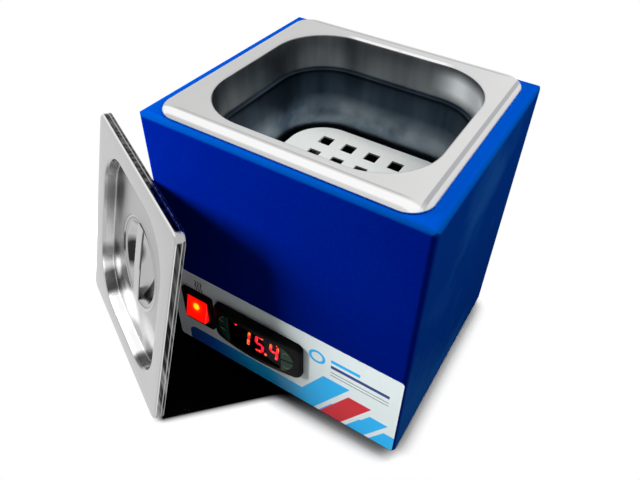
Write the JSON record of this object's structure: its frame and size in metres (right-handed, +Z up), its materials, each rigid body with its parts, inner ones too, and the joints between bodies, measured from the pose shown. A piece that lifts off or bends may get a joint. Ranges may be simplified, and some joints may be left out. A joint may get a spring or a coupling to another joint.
{
  "type": "laboratory water bath",
  "caption": "Laboratory water bath: painted steel casing with a drawn stainless pan, lid with sunk handle, perforated false bottom, lit rocker switch and panel controller.",
  "frame": {"origin": "on the bench plane, under the centre of the casing", "axes": "+Z up, the front panel faces -Y, +X to the right seen from the front"},
  "size_m": [0.3014, 0.2476, 0.224],
  "materials": {
    "casing_paint": "blue powder coat, finely textured",
    "zinc_sheet": "plain pale sheet",
    "fasteners": "plain steel",
    "foot_rubber": "matt black",
    "pan_stainless": "drawn stainless steel, satin",
    "seal_silicone": "grey sealant",
    "false_bottom_steel": "pale satin sheet",
    "lid_stainless": "satin stainless steel",
    "label_film": "printed film: white field, blue band, slanted stripes",
    "black_plastic": "fine satin black",
    "rocker_red": "clear red, lit from behind",
    "lamp_glass": "lit neon lamp",
    "brass_parts": "plain",
    "smoked_window": "clear smoked",
    "display_black": "matt black",
    "digits_red": "lit red",
    "key_green": "dark green rubbery",
    "board_green": "circuit board",
    "grey_plastic": "plain",
    "terminal_green": "plain",
    "heater_silicone": "red-brown silicone",
    "insulation_wool": "mineral wool felt",
    "drawer_grey": "plain",
    "fuse_glass": "glass tube with metal caps",
    "terminal_ivory": "plain",
    "lead_brown": "insulated lead",
    "lead_blue": "insulated lead",
    "lead_yellow_green": "insulated lead",
    "lead_red": "insulated lead",
    "lead_grey": "insulated lead"
  },
  "bodies": {
    "base": {"casing": "casing_paint", "base_plate": "zinc_sheet", "base_screws": "fasteners", "feet": "foot_rubber", "foot_screws": "fasteners", "foot_nuts": "fasteners", "pan": "pan_stainless", "pan_seal": "seal_silicone", "pan_studs": "fasteners", "stud_nuts": "fasteners", "front_label": "label_film", "switch_housing": "black_plastic", "switch_lamp": "lamp_glass", "switch_tabs": "brass_parts", "controller_bezel": "black_plastic", "controller_window": "smoked_window", "display_block": "display_black", "display_digits": "digits_red", "status_lamps": "digits_red", "controller_case": "black_plastic", "controller_board": "board_green", "controller_clips": "grey_plastic", "controller_terminals": "terminal_green", "heater_mat": "heater_silicone", "heater_plate": "zinc_sheet", "insulation_wrap": "insulation_wool", "insulation_pad": "insulation_wool", "insulation_tray": "zinc_sheet", "temperature_probe": "fasteners", "probe_clip": "fasteners", "thermal_cutout": "grey_plastic", "power_inlet": "black_plastic", "inlet_pins": "brass_parts", "inlet_screws": "fasteners", "inlet_nuts": "fasteners", "terminal_block": "terminal_ivory", "terminal_screws": "brass_parts", "earth_stud": "brass_parts", "earth_nuts": "brass_parts", "live_lead": "lead_brown", "neutral_lead": "lead_blue", "earth_lead": "lead_yellow_green", "heater_leads": "lead_red", "probe_lead": "lead_grey"},
    "lid": {"lid": "lid_stainless", "lid_handle": "lid_stainless"},
    "false_bottom": {"false_bottom": "false_bottom_steel"},
    "switch_rocker": {"switch_rocker": "rocker_red"},
    "key_upper_left": {"key_upper_left": "key_green"},
    "key_lower_left": {"key_lower_left": "key_green"},
    "key_upper_right": {"key_upper_right": "key_green"},
    "key_lower_right": {"key_lower_right": "key_green"},
    "fuse_drawer": {"fuse_drawer": "drawer_grey", "fuse": "fuse_glass"}
  },
  "joints": [
    {"name": "lid_lift", "type": "slide", "parent": "base", "child": "lid", "axis": [0, 0, 1], "range_m": [0, 0.25]},
    {"name": "false_bottom_lift", "type": "slide", "parent": "base", "child": "false_bottom", "axis": [0, 0, 1], "range_m": [0, 0.115]},
    {"name": "switch_rocker_tilt", "type": "hinge", "parent": "base", "child": "switch_rocker", "pos_m": [-0.0712, -0.0873, 0.0583], "axis": [1, 0, 0], "range_deg": [0, 28]},
    {"name": "key_upper_left_press", "type": "slide", "parent": "base", "child": "key_upper_left", "axis": [0, 1, 0], "range_m": [0, 0.0008], "stiffness_N_per_m": 500},
    {"name": "key_lower_left_press", "type": "slide", "parent": "base", "child": "key_lower_left", "axis": [0, 1, 0], "range_m": [0, 0.0008], "stiffness_N_per_m": 500},
    {"name": "key_upper_right_press", "type": "slide", "parent": "base", "child": "key_upper_right", "axis": [0, 1, 0], "range_m": [0, 0.0008], "stiffness_N_per_m": 500},
    {"name": "key_lower_right_press", "type": "slide", "parent": "base", "child": "key_lower_right", "axis": [0, 1, 0], "range_m": [0, 0.0008], "stiffness_N_per_m": 500},
    {"name": "fuse_drawer_pull", "type": "slide", "parent": "base", "child": "fuse_drawer", "axis": [0, 1, 0], "range_m": [0, 0.022]}
  ]
}
